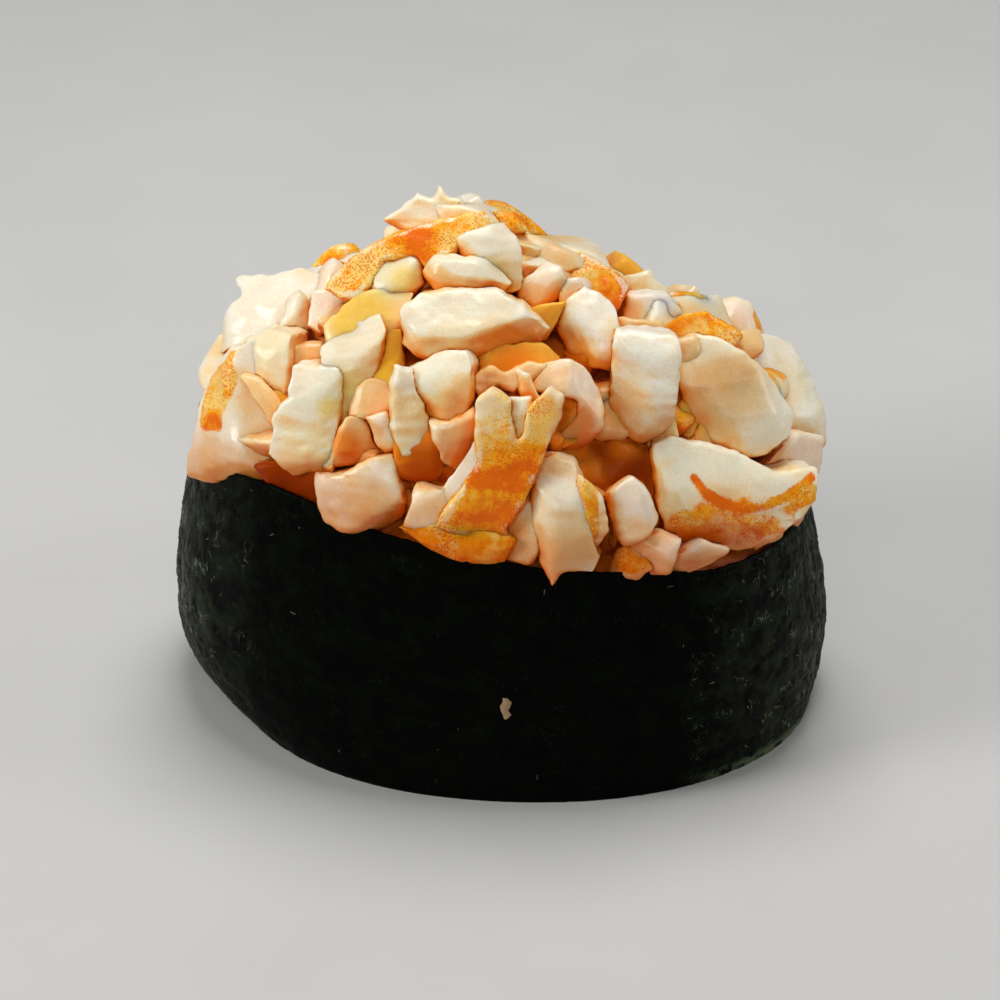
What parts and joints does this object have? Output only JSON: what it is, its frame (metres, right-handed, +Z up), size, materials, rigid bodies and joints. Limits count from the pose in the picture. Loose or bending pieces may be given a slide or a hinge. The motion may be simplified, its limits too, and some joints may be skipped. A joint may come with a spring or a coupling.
{
  "type": "gunkan sushi",
  "caption": "Oval gunkan sushi: rice wrapped in a standing strip of dark seaweed and heaped with chopped white and orange cooked shellfish meat.",
  "frame": {"origin": "centre of the bounding box in plan, at the flat foot that the sushi stands on", "axes": "+Z up, +X along the sushi towards the lower end of the seaweed rim, -Y the front"},
  "size_m": [0.0599, 0.0449, 0.0473],
  "materials": {
    "rice": "moist cooked rice, satin",
    "seaweed": "dark green-black pressed seaweed, soft sheen",
    "shellfish": "moist chopped meat, white to cream with orange skin"
  },
  "bodies": {
    "root": {"rice_base": "rice", "nori_band": "seaweed", "shellfish_heap": "shellfish"}
  },
  "joints": []
}
